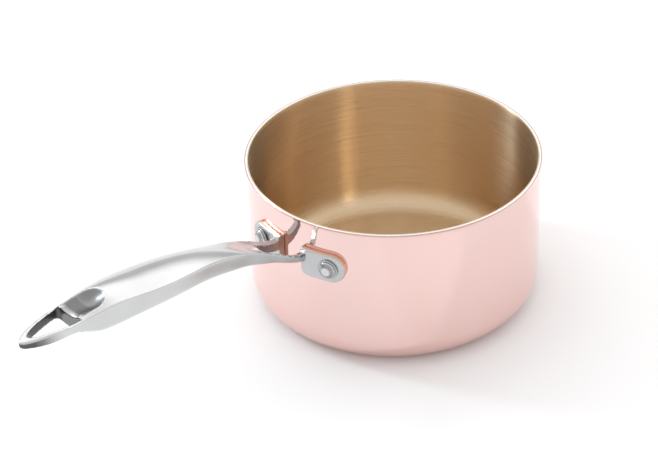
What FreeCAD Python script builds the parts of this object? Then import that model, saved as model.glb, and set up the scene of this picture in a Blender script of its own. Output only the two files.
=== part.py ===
import FreeCAD, Part
import math
import os

# A riveted saucepan: a three-layer bonded pan, one cast stem handle whose
# fork ends in two lugs, and a rivet with a washer through each lug.
# Millimetres. The origin is the centre of the base, +Z is up, the handle
# points along -X and the object is its own mirror image across Y = 0.

Vec = FreeCAD.Vector
UP = Vec(0, 0, 1)

# Pan
PAN_RADIUS = 80.0
PAN_HEIGHT = 85.0
CORNER_RADIUS = 16.0
COPPER_THICK = 0.4
CORE_THICK = 1.15
LINER_THICK = 0.5
FLARE_OUT = 0.45
FLARE_TALL = 3.5

# Lugs and rivets
RIVET_SPACING = 45.2
RIVET_BELOW_RIM = 23.0
LUG_THICK = 3.3
LUG_TALL = 16.4
LUG_BEYOND_RIVET = 9.4
LUG_CORNER = 3.0
LUG_EDGE_ROUND = 0.9
FORK_GAP = 15.2
SHANK_DIAMETER = 5.0
SHANK_CLEARANCE = 0.1
WASHER_DIAMETER = 11.2
WASHER_THICK = 0.9
WASHER_SEAT_CLEARANCE = 0.2
WASHER_SEAT_DEPTH = 0.15
HEAD_DIAMETER = 9.2
HEAD_STEP = 0.7
HEAD_TALL = 2.3
HEAD_TOP_DIAMETER = 5.3
INNER_HEAD_DIAMETER = 13.0
INNER_HEAD_TALL = 1.8

# Handle
HANDLE_LENGTH = 179.6
CROTCH_FROM_WALL = 24.0
CROTCH_WIDTH = 12.0
FORK_TAIL = 45.0
TAIL = 54.0
TIP_FOCUS = 0.91
HOLE_WIDTH_FOCUS = 0.70
HOLE_FROM_TIP = 5.6
HOLE_LENGTH = 24.7
HOLE_CORNER = 2.6
HOLE_EDGE_ROUND = 0.6
SCOOP_FROM_TIP = 53.0
SCOOP_RADIUS = 12.0
SCOOP_WAIST = 11.1
SCOOP_FLOOR_DROP = 1.0
SCOOP_OVER_HOLE = 2.5
SCOOP_WAIST_BEFORE_HOLE = 2.0
SCOOP_END_DEEPER = 0.6
SCOOP_END_SLOPE = 0.6

WALL_THICK = COPPER_THICK + CORE_THICK + LINER_THICK
INNER_RADIUS = PAN_RADIUS - WALL_THICK
RIVET_Z = PAN_HEIGHT - RIVET_BELOW_RIM
RIVET_ANGLE = math.degrees(math.asin(RIVET_SPACING / 2 / PAN_RADIUS))
LUG_FACE = PAN_RADIUS + LUG_THICK
SEAT_RADIUS = WASHER_DIAMETER / 2 + WASHER_SEAT_CLEARANCE
SEAT_DROP = LUG_FACE - math.sqrt(LUG_FACE ** 2 - SEAT_RADIUS ** 2)
WASHER_SEAT = LUG_FACE - SEAT_DROP - WASHER_SEAT_DEPTH
TIP_REACH = PAN_RADIUS + HANDLE_LENGTH
SECTION_STEP = 3.8
NEAR = 0.01

# Cross-sections of the handle. Each is (place, height of the crease line
# above the rivet line, half width at the crease, rise of the crown between
# the creases, depth under the crease, fullness of the underside 0 to 1).
# The fork's places are distances out from the wall, the grip's are shares of
# the stretch between fork and tail, and the tail's are distances from the tip.
# The rows past the tip and before the wall only guide the curves; both are cut.
FORK_SECTIONS = (
    (1.2, 7.9, 11.6, -1.6, 8.7, 1.0),
    (4.0, 7.4, 11.3, -1.8, 7.8, 1.0),
    (9.0, 8.4, 10.7, -2.0, 7.1, 1.0),
    (16.0, 12.0, 10.0, -2.2, 7.1, 1.0),
    (23.0, 16.4, 9.3, -2.2, 8.1, 1.0),
    (30.0, 20.3, 8.9, -1.8, 9.2, 1.0),
    (37.0, 23.8, 8.5, -0.8, 9.9, 0.95),
)
GRIP_SECTIONS = (
    (0.05, 28.2, 8.6, 0.9, 10.9, 0.9),
    (0.26, 33.4, 9.8, 2.3, 11.8, 0.85),
    (0.50, 37.7, 12.1, 3.1, 12.6, 0.8),
    (0.75, 41.5, 12.9, 3.5, 14.0, 0.75),
    (0.94, 44.4, 12.0, 3.6, 15.7, 0.75),
)
TAIL_SECTIONS = (
    (48.0, 45.6, 11.0, 3.4, 16.0, 0.75),
    (39.5, 45.9, 10.2, 2.6, 13.8, 0.8),
    (34.5, 46.0, 9.7, 1.8, 11.0, 0.85),
    (29.5, 46.1, 9.4, 1.2, 8.0, 0.95),
    (24.0, 46.3, 9.2, 1.0, 6.3, 1.0),
    (14.0, 46.7, 9.0, 0.8, 5.4, 1.0),
    (5.0, 46.7, 8.8, 0.7, 3.9, 1.0),
    (-3.0, 46.5, 8.6, 0.6, 2.5, 1.0),
)


def mix(low, high, share):
    return low + (high - low) * share


def bezier(points):
    curve = Part.BezierCurve()
    curve.setPoles(points)
    return curve.toShape()


# ---------------------------------------------------------------- pan layers

def layer_edges(depth):
    """Half profile of the surface lying this deep inside the pan's outside."""
    radius = PAN_RADIUS - depth
    round_off = CORNER_RADIUS - depth
    corner = Vec(PAN_RADIUS - CORNER_RADIUS, 0, CORNER_RADIUS)
    middle = math.sqrt(0.5) * round_off
    base_middle = Vec(0, 0, depth)
    base_end = Vec(corner.x, 0, depth)
    wall_start = Vec(radius, 0, CORNER_RADIUS)
    flare_start = Vec(radius, 0, PAN_HEIGHT - FLARE_TALL)
    flare_pull = Vec(radius, 0, PAN_HEIGHT - FLARE_TALL / 3)
    rim = Vec(radius + FLARE_OUT, 0, PAN_HEIGHT)
    arc_middle = Vec(corner.x + middle, 0, corner.z - middle)
    return [
        Part.makeLine(base_middle, base_end),
        Part.Arc(base_end, arc_middle, wall_start).toShape(),
        Part.makeLine(wall_start, flare_start),
        bezier([flare_start, flare_pull, rim]),
    ]


def pan_layer(outer_depth, thick):
    outer = layer_edges(outer_depth)
    inner = layer_edges(outer_depth + thick)
    outer_rim = outer[-1].Vertexes[-1].Point
    inner_rim = inner[-1].Vertexes[-1].Point
    closing = [
        Part.makeLine(outer_rim, inner_rim),
        Part.makeLine(Vec(0, 0, outer_depth + thick), Vec(0, 0, outer_depth)),
    ]
    ordered = Part.sortEdges(outer + inner + closing)[0]
    face = Part.Face(Part.Wire(ordered))
    return face.revolve(Vec(0, 0, 0), UP, 360)


# ------------------------------------------------------------ rivet and lug

def at_rivet(shape, side):
    """Turn a shape built along +X at the pan's axis onto one rivet's line."""
    placed = shape.copy()
    placed.translate(Vec(0, 0, RIVET_Z))
    placed.rotate(Vec(0, 0, 0), UP, 180 - side * RIVET_ANGLE)
    return placed


def cylinder_x(radius, start, end):
    return Part.makeCylinder(radius, end - start, Vec(start, 0, 0), Vec(1, 0, 0))


def shank_hole(side):
    radius = SHANK_DIAMETER / 2 + SHANK_CLEARANCE
    return at_rivet(cylinder_x(radius, INNER_RADIUS - LUG_THICK, LUG_FACE + LUG_THICK), side)


def rivet(side):
    shank_end = WASHER_SEAT + WASHER_THICK
    step_end = shank_end + HEAD_STEP
    shank = cylinder_x(SHANK_DIAMETER / 2, INNER_RADIUS - INNER_HEAD_TALL / 2, shank_end + HEAD_STEP)
    step = cylinder_x(HEAD_DIAMETER / 2, shank_end, step_end)
    cone_tall = HEAD_TALL - HEAD_STEP
    cone = Part.makeCone(HEAD_DIAMETER / 2, HEAD_TOP_DIAMETER / 2, cone_tall, Vec(step_end, 0, 0), Vec(1, 0, 0))
    head_radius = INNER_HEAD_DIAMETER / 2
    ball_radius = (head_radius ** 2 + INNER_HEAD_TALL ** 2) / (2 * INNER_HEAD_TALL)
    ball = Part.makeSphere(ball_radius, Vec(INNER_RADIUS - INNER_HEAD_TALL + ball_radius, 0, 0))
    dome = ball.common(cylinder_x(head_radius, INNER_RADIUS - 2 * INNER_HEAD_TALL, INNER_RADIUS + 1))
    pan_inside = Part.makeCylinder(INNER_RADIUS, PAN_HEIGHT, Vec(0, 0, -PAN_HEIGHT / 2))
    dome = dome.common(pan_inside)
    whole = shank.fuse([step, cone, dome]).removeSplitter()
    return at_rivet(whole, side)


def washer(side):
    disc = cylinder_x(WASHER_DIAMETER / 2, WASHER_SEAT, WASHER_SEAT + WASHER_THICK)
    middle = WASHER_SEAT + WASHER_THICK / 2
    face_rim = [e for e in disc.Edges if e.Length > WASHER_DIAMETER and e.CenterOfMass.x > middle]
    disc = disc.makeFillet(WASHER_THICK / 3, face_rim)
    bore_radius = SHANK_DIAMETER / 2 + SHANK_CLEARANCE
    bore = cylinder_x(bore_radius, WASHER_SEAT - WASHER_THICK, WASHER_SEAT + 2 * WASHER_THICK)
    return at_rivet(disc.cut(bore), side)


def lug(side):
    """A plate bent to the wall, square at the fork and half round beyond the rivet."""
    half_tall = LUG_TALL / 2
    round_centre = LUG_BEYOND_RIVET - half_tall
    reach = RIVET_SPACING
    block = Part.makeBox(LUG_THICK * 6, reach + round_centre, LUG_TALL)
    block.translate(Vec(PAN_RADIUS - LUG_THICK * 3, -reach, -half_tall))
    end = cylinder_x(half_tall, PAN_RADIUS - LUG_THICK * 3, PAN_RADIUS + LUG_THICK * 3)
    end.translate(Vec(0, round_centre, 0))
    outline = block.fuse(end).removeSplitter()
    if side > 0:
        outline = outline.mirror(Vec(0, 0, 0), Vec(0, 1, 0))
    ring = Part.makeCylinder(LUG_FACE, LUG_TALL * 2, Vec(0, 0, RIVET_Z - LUG_TALL))
    ring = ring.cut(Part.makeCylinder(PAN_RADIUS, LUG_TALL * 2, Vec(0, 0, RIVET_Z - LUG_TALL)))
    plate = ring.common(at_rivet(outline, side))
    keep = Part.makeBox(LUG_FACE, LUG_FACE, LUG_TALL * 2)
    keep.translate(Vec(-LUG_FACE, FORK_GAP / 2, RIVET_Z - LUG_TALL))
    if side < 0:
        keep = keep.mirror(Vec(0, 0, 0), Vec(0, 1, 0))
    return plate.common(keep)


def rounded_lug(side):
    plate = lug(side)
    inner_low = [
        e for e in plate.Edges
        if abs(abs(e.CenterOfMass.y) - FORK_GAP / 2) < NEAR
        and abs(e.CenterOfMass.z - (RIVET_Z - LUG_TALL / 2)) < NEAR
    ]
    plate = plate.makeFillet(LUG_CORNER, inner_low)
    outer_rim = []
    for edge in plate.Edges:
        middle = edge.valueAt(mix(edge.FirstParameter, edge.LastParameter, 0.5))
        on_face = abs(math.hypot(middle.x, middle.y) - LUG_FACE) < NEAR
        if on_face and abs(middle.y) > FORK_GAP / 2 + NEAR:
            outer_rim.append(edge)
    return plate.makeFillet(LUG_EDGE_ROUND, outer_rim)


# ------------------------------------------------------------------- handle

# The crown is a cubic curve and the underside one of fifth degree, each given
# by its control points. A curve of fifth degree passes its middle at these
# shares of its side and belly points, and a cubic at 3/4 of its shoulders.
SIDE_SHARE = 0.3125
BELLY_SHARE = 0.625
SHOULDER_SHARE = 0.75

# Side and belly points of a lean underside and of a full one: how far out, as
# shares of the half width, and how far down, as a share of the depth.
SIDE_OUT = (0.88, 1.0)
SIDE_DOWN = (0.45, 1.3)
BELLY_OUT = (0.74, 0.9)


def section_wire(reach, crease_z, half, rise, depth, full):
    """A crown over two creases, closed by one rounded underside curve."""

    def at(y, z):
        return Vec(-reach, y * half, crease_z + z)

    shoulder = rise / SHOULDER_SHARE
    side_y = mix(*SIDE_OUT, full)
    side_z = mix(*SIDE_DOWN, full) * depth
    belly_y = mix(*BELLY_OUT, full)
    belly_z = (depth - SIDE_SHARE * side_z) / BELLY_SHARE
    crown = bezier([at(-1, 0), at(-0.5, shoulder), at(0.5, shoulder), at(1, 0)])
    under = bezier([
        at(1, 0), at(side_y, -side_z), at(belly_y, -belly_z),
        at(-belly_y, -belly_z), at(-side_y, -side_z), at(-1, 0),
    ])
    return Part.Wire([crown, under])


def section_rows():
    fork_end = PAN_RADIUS + FORK_TAIL
    tail_start = TIP_REACH - TAIL
    rows = [(PAN_RADIUS + row[0],) + row[1:] for row in FORK_SECTIONS]
    rows += [(mix(fork_end, tail_start, row[0]),) + row[1:] for row in GRIP_SECTIONS]
    rows += [(TIP_REACH - row[0],) + row[1:] for row in TAIL_SECTIONS]
    return rows


def handle_sections():
    """Smooth curves through the given sections, read off again at close steps."""
    rows = section_rows()
    reaches = [row[0] for row in rows]
    line_points = [Vec(reach, high, half) for reach, high, half, _, _, _ in rows]
    form_points = [Vec(rise, depth, full) for _, _, _, rise, depth, full in rows]
    line = Part.BSplineCurve()
    line.interpolate(Points=line_points, Parameters=reaches)
    form = Part.BSplineCurve()
    form.interpolate(Points=form_points, Parameters=reaches)
    count = math.ceil((reaches[-1] - reaches[0]) / SECTION_STEP)
    wires = []
    for index in range(count + 1):
        reach = mix(reaches[0], reaches[-1], index / count)
        at_line = line.value(reach)
        at_form = form.value(reach)
        full = min(1.0, max(0.0, at_form.z))
        wires.append(section_wire(reach, RIVET_Z + at_line.y, at_line.z, at_form.x, at_form.y, full))
    return wires


def parabola_prism(vertex_reach, focus, back):
    """An upright prism whose outline is a parabola with its nose at the tip end."""
    half = math.sqrt(4 * focus * back)
    start = Vec(-(vertex_reach - back), half, 0)
    pull = Vec(-(vertex_reach + back), 0, 0)
    end = Vec(-(vertex_reach - back), -half, 0)
    nose = bezier([start, pull, end])
    face = Part.Face(Part.Wire([nose, Part.makeLine(end, start)]))
    return face.extrude(Vec(0, 0, RIVET_Z + PAN_HEIGHT))


def hanging_hole():
    prism = parabola_prism(TIP_REACH - HOLE_FROM_TIP, HOLE_WIDTH_FOCUS, HOLE_LENGTH)
    blunt = [e for e in prism.Edges if abs(e.Length - (RIVET_Z + PAN_HEIGHT)) < NEAR]
    return prism.makeFillet(HOLE_CORNER, blunt)


def cut_hanging_hole(stem):
    """Cut the hole through the tail and round both of its mouths."""
    hole = hanging_hole()
    stem = stem.cut(hole)
    mouth = []
    for edge in stem.Edges:
        parameter = mix(edge.FirstParameter, edge.LastParameter, 0.5)
        on_hole = hole.distToShape(Part.Vertex(edge.valueAt(parameter)))[0] < NEAR
        upright = abs(edge.tangentAt(parameter).z) > math.cos(math.radians(35))
        if on_hole and not upright:
            mouth.append(edge)
    return stem.makeFillet(HOLE_EDGE_ROUND, mouth)


def fork_slot():
    """The gap between the legs: it narrows from the wall to a round crotch."""
    half = CROTCH_WIDTH / 2
    round_centre = PAN_RADIUS + CROTCH_FROM_WALL - half
    wall_side = PAN_RADIUS - LUG_THICK
    square_end = LUG_FACE
    points = [
        Vec(-wall_side, FORK_GAP / 2, 0),
        Vec(-square_end, FORK_GAP / 2, 0),
        Vec(-round_centre, half, 0),
        Vec(-round_centre - half, 0, 0),
        Vec(-round_centre, -half, 0),
        Vec(-square_end, -FORK_GAP / 2, 0),
        Vec(-wall_side, -FORK_GAP / 2, 0),
    ]
    edges = [
        Part.makeLine(points[0], points[1]),
        Part.makeLine(points[1], points[2]),
        Part.Arc(points[2], points[3], points[4]).toShape(),
        Part.makeLine(points[4], points[5]),
        Part.makeLine(points[5], points[6]),
        Part.makeLine(points[6], points[0]),
    ]
    return Part.Face(Part.Wire(edges)).extrude(Vec(0, 0, RIVET_Z + PAN_HEIGHT))


def thumb_scoop():
    """A bowl turned about a line along the handle, with a waist before the hole."""
    start = TIP_REACH - SCOOP_FROM_TIP
    hole_edge = TIP_REACH - HOLE_FROM_TIP - HOLE_LENGTH
    widest = start + SCOOP_RADIUS
    axis_z = RIVET_Z + TAIL_SECTIONS[0][1] + SCOOP_RADIUS - SCOOP_FLOOR_DROP

    def at(reach, radius):
        return Vec(-reach, 0, axis_z - radius)

    corner = SCOOP_RADIUS * math.sqrt(0.5)
    bowl = Part.Arc(at(start, 0), at(widest - corner, corner), at(widest, SCOOP_RADIUS)).toShape()
    end = hole_edge + SCOOP_OVER_HOLE
    waist_place = hole_edge - SCOOP_WAIST_BEFORE_HOLE
    end_radius = SCOOP_RADIUS + SCOOP_END_DEEPER
    floor = Part.BSplineCurve()
    floor.interpolate(
        Points=[at(widest, SCOOP_RADIUS), at(waist_place, SCOOP_WAIST), at(end, end_radius)],
        InitialTangent=Vec(-1, 0, 0),
        FinalTangent=Vec(-1, 0, -SCOOP_END_SLOPE),
    )
    edges = [
        bowl,
        floor.toShape(),
        Part.makeLine(at(end, end_radius), at(end, 0)),
        Part.makeLine(at(end, 0), at(start, 0)),
    ]
    face = Part.Face(Part.Wire(edges))
    return face.revolve(Vec(0, 0, axis_z), Vec(1, 0, 0), 360)


def handle():
    stem = Part.makeLoft(handle_sections(), True, False)
    stem = stem.common(parabola_prism(TIP_REACH, TIP_FOCUS, HANDLE_LENGTH + PAN_RADIUS / 2))
    stem = stem.cut(fork_slot())
    stem = stem.cut(thumb_scoop())
    stem = cut_hanging_hole(stem)
    whole = stem.fuse([rounded_lug(1), rounded_lug(-1)]).removeSplitter()
    whole = whole.cut(Part.makeCylinder(PAN_RADIUS, PAN_HEIGHT * 2))
    for side in (1, -1):
        seat = cylinder_x(SEAT_RADIUS, WASHER_SEAT, LUG_FACE + LUG_THICK)
        whole = whole.cut([shank_hole(side), at_rivet(seat, side)])
    return whole


def main():
    os.makedirs("parts", exist_ok=True)
    holes = [shank_hole(1), shank_hole(-1)]
    parts = {
        "copper_shell": pan_layer(0, COPPER_THICK).cut(holes),
        "aluminium_core": pan_layer(COPPER_THICK, CORE_THICK).cut(holes),
        "steel_liner": pan_layer(COPPER_THICK + CORE_THICK, LINER_THICK).cut(holes),
        "handle": handle(),
    }
    for name, side in (("left", 1), ("right", -1)):
        parts[name + "_rivet"] = rivet(side)
        parts[name + "_rivet_washer"] = washer(side)
    for name, shape in parts.items():
        solids = shape.Solids
        if len(solids) == 1:
            shape = solids[0]
        box = shape.BoundBox
        print(name, "solids", len(solids), "valid", shape.isValid(), "volume %.1f" % shape.Volume)
        print("  x %.1f..%.1f y %.1f..%.1f" % (box.XMin, box.XMax, box.YMin, box.YMax))
        print("  z %.1f..%.1f" % (box.ZMin, box.ZMax))
        shape.exportStep("parts/" + name + ".step")


main()
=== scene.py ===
# %% [markdown]
# # A copper saucepan with a riveted cast handle
# The pan is built in the same frame as its model: the base stands on Z = 0, +Z is
# up and the handle points along -X. Loading that model first gives the box that
# the finer shapes below have to keep.

# %% Load the model and keep its box
import math
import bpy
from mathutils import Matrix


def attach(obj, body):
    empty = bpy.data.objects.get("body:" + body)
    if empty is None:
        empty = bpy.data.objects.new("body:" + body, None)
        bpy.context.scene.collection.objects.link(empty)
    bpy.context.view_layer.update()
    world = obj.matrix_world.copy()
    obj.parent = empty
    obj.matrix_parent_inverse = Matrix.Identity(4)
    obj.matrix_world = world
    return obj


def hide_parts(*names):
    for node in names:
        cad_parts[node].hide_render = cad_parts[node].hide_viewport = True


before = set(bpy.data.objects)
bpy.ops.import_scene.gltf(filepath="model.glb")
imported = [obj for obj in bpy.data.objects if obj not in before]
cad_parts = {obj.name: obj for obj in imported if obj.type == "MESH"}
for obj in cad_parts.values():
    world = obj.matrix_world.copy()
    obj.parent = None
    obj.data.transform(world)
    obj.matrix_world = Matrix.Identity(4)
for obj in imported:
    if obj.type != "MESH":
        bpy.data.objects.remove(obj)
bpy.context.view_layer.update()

from types import SimpleNamespace

import bmesh
import bpy
import numpy as np
from mathutils import Matrix, Vector

# %% [markdown]
# ## The camera
# It stands in front of the handle's side and looks down at about a third of a
# right angle, with a moderately long lens, so the rim is a wide ellipse and the
# handle comes towards the lower left of the frame.

# %% Camera
CAMERA_PLACE = Vector((-0.6698, -0.5837, 0.6326))
CAMERA_LOOK = Vector((0.6044, 0.5715, -0.5550)).normalized()
CAMERA_ROLL = math.radians(2.446)
LENS = 105.5
SENSOR_WIDTH = 36


def add_camera(place, look, roll, lens):
    level_right = look.cross(Vector((0, 0, 1))).normalized()
    down = look.cross(level_right)
    right = math.cos(roll) * level_right + math.sin(roll) * down
    below = -math.sin(roll) * level_right + math.cos(roll) * down
    turn = Matrix((right, -below, -look)).transposed()
    data = bpy.data.cameras.new("camera")
    data.lens = lens
    data.sensor_width = SENSOR_WIDTH
    camera = bpy.data.objects.new("camera", data)
    camera.matrix_world = Matrix.Translation(place) @ turn.to_4x4()
    bpy.context.scene.collection.objects.link(camera)
    bpy.context.scene.camera = camera
    return camera


camera = add_camera(CAMERA_PLACE, CAMERA_LOOK, CAMERA_ROLL, LENS)
print("camera at", [round(v, 3) for v in camera.location], "lens", LENS)

# %% [markdown]
# ## Sizes that several steps share
# They are in millimetres, as on a drawing, and `MM` turns them into metres where a
# mesh is made. They come before the finishes because some finishes follow the
# curves of a shape: the scoop, the hanging hole, the tip and the fork's gap.
# Handle sizes are distances from the pan's upright axis unless they say otherwise.

# %% Shared sizes
MM = 0.001
PAN_RADIUS = 80.0
PAN_HEIGHT = 85.0
COPPER_THICK = 0.4
CORE_THICK = 1.15
LINER_THICK = 0.5
INNER_RADIUS = PAN_RADIUS - COPPER_THICK - CORE_THICK - LINER_THICK

RIVET_Z = 62.0
RIVET_ACROSS = 22.6
RIVET_TURN = math.asin(RIVET_ACROSS / PAN_RADIUS)
LUG_FACE = 83.3

GAP_HALF = 7.6
CROTCH_HALF = 6.0
CROTCH_CENTRE = 98.0
SCOOP_RADIUS = 12.0
SCOOP_WIDEST = 218.6
SCOOP_AXIS_Z = 118.6
HOLE_BACK = 229.3
HOLE_NOSE = 254.0
HOLE_FOCUS = 0.70
TIP_REACH = 259.6
TIP_FOCUS = 0.91
print("inside radius %.2f mm, rivets %.2f degrees off the handle" % (INNER_RADIUS, math.degrees(RIVET_TURN)))

# %% [markdown]
# ## A short way to write node trees
# Shaders and Geometry Nodes are both trees of nodes. A small wrapper keeps them
# readable: one method adds any node, and an output can be used in ordinary sums,
# so that `1 - mask` adds the Math node by itself.

# %% The tree helper
class Socket:
    """An output of a node, ready for sums."""

    def __init__(self, tree, socket):
        self.tree, self.socket = tree, socket

    def sum_up(self, operation, first, second):
        return self.tree.add("ShaderNodeMath", {"operation": operation}, {0: first, 1: second})

    def __add__(self, other):
        return self.sum_up("ADD", self, other)

    def __sub__(self, other):
        return self.sum_up("SUBTRACT", self, other)

    def __rsub__(self, other):
        return self.sum_up("SUBTRACT", other, self)

    def __mul__(self, other):
        return self.sum_up("MULTIPLY", self, other)

    def __truediv__(self, other):
        return self.sum_up("DIVIDE", self, other)

    __radd__, __rmul__ = __add__, __mul__


class Tree:
    """Adds nodes to a node tree and links them."""

    def __init__(self, nodes):
        self.nodes, self.links = nodes.nodes, nodes.links

    def add(self, kind, settings=None, values=None, output=0):
        node = self.nodes.new(kind)
        for name, value in (settings or {}).items():
            setattr(node, name, value)
        for name, value in (values or {}).items():
            self.feed(node.inputs[name], value)
        return Socket(self, node.outputs[output])

    def feed(self, entry, value):
        if isinstance(value, Socket):
            self.links.new(value.socket, entry)
        else:
            entry.default_value = value

    def parts(self, vector):
        """The x, y and z of a vector."""
        node = self.nodes.new("ShaderNodeSeparateXYZ")
        self.feed(node.inputs[0], vector)
        return [Socket(self, entry) for entry in node.outputs]

    def vector(self, operation, first, second=None, output=0):
        values = {0: first} if second is None else {0: first, 1: second}
        return self.add("ShaderNodeVectorMath", {"operation": operation}, values, output)

    def length(self, vector):
        return self.vector("LENGTH", vector, output=1)

    def blend(self, factor, first, second):
        """A colour between two colours."""
        return self.add("ShaderNodeMix", {"data_type": "RGBA"}, {0: factor, 6: first, 7: second}, 2)

    def between(self, value, low, high, to_low=0.0, to_high=1.0):
        """Value carried from one range to another, and held there."""
        values = {0: value, 1: low, 2: high, 3: to_low, 4: to_high}
        return self.add("ShaderNodeMapRange", {"clamp": True}, values)

    def below(self, value, low, high):
        """1 under the range and 0 over it."""
        return self.between(value, low, high, 1.0, 0.0)

    def noise(self, place, scale, detail=2.0, rough=0.5):
        values = {"Vector": place, "Scale": scale, "Detail": detail, "Roughness": rough}
        return self.add("ShaderNodeTexNoise", {}, values)

    def noise_along(self, distance, scale, detail):
        """Noise that changes along one distance only, so it draws lines."""
        settings = {"noise_dimensions": "1D"}
        return self.add("ShaderNodeTexNoise", settings, {"W": distance * scale, "Detail": detail})


print("tree helper ready")

# %% [markdown]
# ## Metals
# Every visible surface is metal, and what tells them apart is how each one was
# finished: the copper is buffed to a mirror, the liner is brushed round its axis,
# the handle is cast and polished, and the rivets are turned. The colour of a
# metal barely changes over a piece, so the detail is in its roughness and in a
# very low relief, except where light and shade are painted into the colour, as
# marked below. Every mask is measured in millimetres on the piece itself.

# %% A starting point for metals
NORMAL, PLACE = 1, 3


def new_metal(name, **fixed):
    """A material with a metal shader, and the tree to finish it with."""
    material = bpy.data.materials.new(name)
    material.use_nodes = True
    shader = material.node_tree.nodes["Principled BSDF"]
    shader.inputs["Metallic"].default_value = 1.0
    for socket, value in fixed.items():
        shader.inputs[socket.replace("_", " ")].default_value = value
    return material, Tree(material.node_tree), shader


def measured(tree):
    """Where a point is: its place in metres, and x, y, z and reach from the axis in millimetres."""
    place = tree.add("ShaderNodeTexCoord", output=PLACE)
    x, y, z = (part * (1 / MM) for part in tree.parts(place))
    reach = tree.length(tree.vector("MULTIPLY", place, (1, 1, 0))) * (1 / MM)
    return SimpleNamespace(place=place, x=x, y=y, z=z, reach=reach)


def dress(tree, shader, colour, roughness, height=None, distance=0.0, strength=0.0):
    """Feeds the shader its colour, its roughness and, where there is one, its relief."""
    tree.feed(shader.inputs["Base Color"], colour)
    tree.feed(shader.inputs["Roughness"], roughness)
    if height:
        values = {"Height": height, "Distance": distance * MM, "Strength": strength}
        tree.feed(shader.inputs["Normal"], tree.add("ShaderNodeBump", {}, values))


def dimmed(colour, share):
    return tuple(share * part for part in colour[:3]) + (1,)


print("metals start from a shader with Metallic 1")

# %% [markdown]
# ### Mirror copper
# Buffing wheels leave a mirror with faint hazy patches and hair-fine rings. Warm
# patches in the colour are the first breath of tarnish, a little stronger low on
# the wall, where a flame reaches. A darker warm band on the rim's flare and edge
# is painted shade.

# %% Copper
COPPER_LIGHT = (0.868, 0.634, 0.602, 1)
COPPER_WARM = (0.835, 0.555, 0.500, 1)
# Painted shade on the rim's flare and edge.
COPPER_RIM_SHADE = (0.600, 0.370, 0.290, 1)
FLAME_HEIGHT = 30.0
# Heights over which the painted rim shade fades in.
RIM_SHADE_Z = (83.8, 84.8)
CLOUDS_PER_METRE = 28.0
HAIR_RINGS_PER_MM = 5.2


def make_copper():
    material, tree, shader = new_metal("polished_copper")
    at = measured(tree)
    cloud = tree.noise(at.place, CLOUDS_PER_METRE, 3.0)
    low = tree.below(at.z, 0.0, FLAME_HEIGHT)
    warm = tree.between(cloud, 0.35, 0.75, 0.0, 0.3) + low * 0.35
    wall = tree.blend(warm, COPPER_LIGHT, COPPER_WARM)
    # Painted shade: the top of the wall darkens to a warm brown at the rim.
    colour = tree.blend(tree.between(at.z, *RIM_SHADE_Z), wall, COPPER_RIM_SHADE)
    rings = tree.noise_along(at.z + at.reach, HAIR_RINGS_PER_MM, 2.0)
    haze = tree.between(cloud, 0.3, 0.7, 0.035, 0.075)
    dress(tree, shader, colour, haze + rings * 0.03, rings, 0.002, 0.25)
    return material


copper = make_copper()
print("made", copper.name)

# %% [markdown]
# ### Brushed liner and cut rim
# The inside is brushed while it spins, so its lines run round the wall and in
# rings on the base, and lights smear into upright streaks across them. The
# shader's anisotropy does the smearing, and noise along the profile draws the
# lines. The warm brown tone in both colours is a painted reflection of brown food
# in the pan, which is not modelled; the steel itself is neutral.

# %% Brushed steel
# Both liner colours carry a painted warm brown reflection; the steel itself is neutral.
LINER_LIGHT_WITH_REFLECTION = (0.790, 0.635, 0.450, 1)
LINER_DARK_WITH_REFLECTION = (0.670, 0.490, 0.310, 1)
LINES_PER_MM = 9.0
BROKEN_LINES = (26, 26, 2600)
RIM_SILVER = (0.900, 0.890, 0.880, 1)
RIM_GREY = (0.780, 0.770, 0.760, 1)
RIM_GRAIN_PER_METRE = 900.0


def make_liner():
    material, tree, shader = new_metal("brushed_liner", Anisotropic=1.0, Anisotropic_Rotation=0.25)
    at = measured(tree)
    fine = tree.noise_along(at.z + at.reach, LINES_PER_MM, 3.0)
    broken = tree.noise(tree.vector("MULTIPLY", at.place, BROKEN_LINES), 1.0, 4.0, 0.6)
    lines = fine * 0.5 + broken * 0.5
    # The brushed lines choose between two colours that both hold the painted brown reflection.
    colour = tree.blend(tree.between(lines, 0.32, 0.68), LINER_DARK_WITH_REFLECTION, LINER_LIGHT_WITH_REFLECTION)
    dress(tree, shader, colour, tree.between(lines, 0.3, 0.7, 0.24, 0.34), lines, 0.02, 0.35)
    return material


def make_rim():
    material, tree, shader = new_metal("cut_rim")
    place = tree.add("ShaderNodeTexCoord", output=PLACE)
    grain = tree.noise(place, RIM_GRAIN_PER_METRE)
    colour = tree.blend(grain * 0.3, RIM_SILVER, RIM_GREY)
    dress(tree, shader, colour, tree.between(grain, 0.3, 0.7, 0.16, 0.28))
    return material


liner = make_liner()
rim = make_rim()
print("made", liner.name, rim.name)

# %% [markdown]
# ### Cast and polished handle
# A casting is never quite flat, even after polishing: reflections swim a little.
# A low, slow relief does that, and short fine scratches along the grip blur them.
# The thumb scoop, the hanging hole and the blunt end of the tip are rougher, and
# their colour is darkened: painted shade in the scoop, painted dark reflection in
# the hole and on the tip. Close to the copper, the lugs' edges carry a painted
# reflection of its warm tone, and the fork's gap a painted copper reflection that
# fades into painted shade. The fork end of the handle has a painted cool tint
# against the copper's pink reflection. Each mask is drawn from the same sizes
# that shape the place it covers: a ball, a parabola or a narrowing gap.

# %% Masks of the handle
LIP_BEFORE_HOLE = (0.3, 3.1)
TIP_FACING = (-0.02, -0.38)
TIP_FROM_AXIS = (240.0, 250.0)
TIP_TOP_Z = (108.8, 108.0)
GAP_NARROWING = (GAP_HALF - CROTCH_HALF) / (CROTCH_CENTRE - LUG_FACE)
CROTCH_END = CROTCH_CENTRE + CROTCH_HALF


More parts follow.
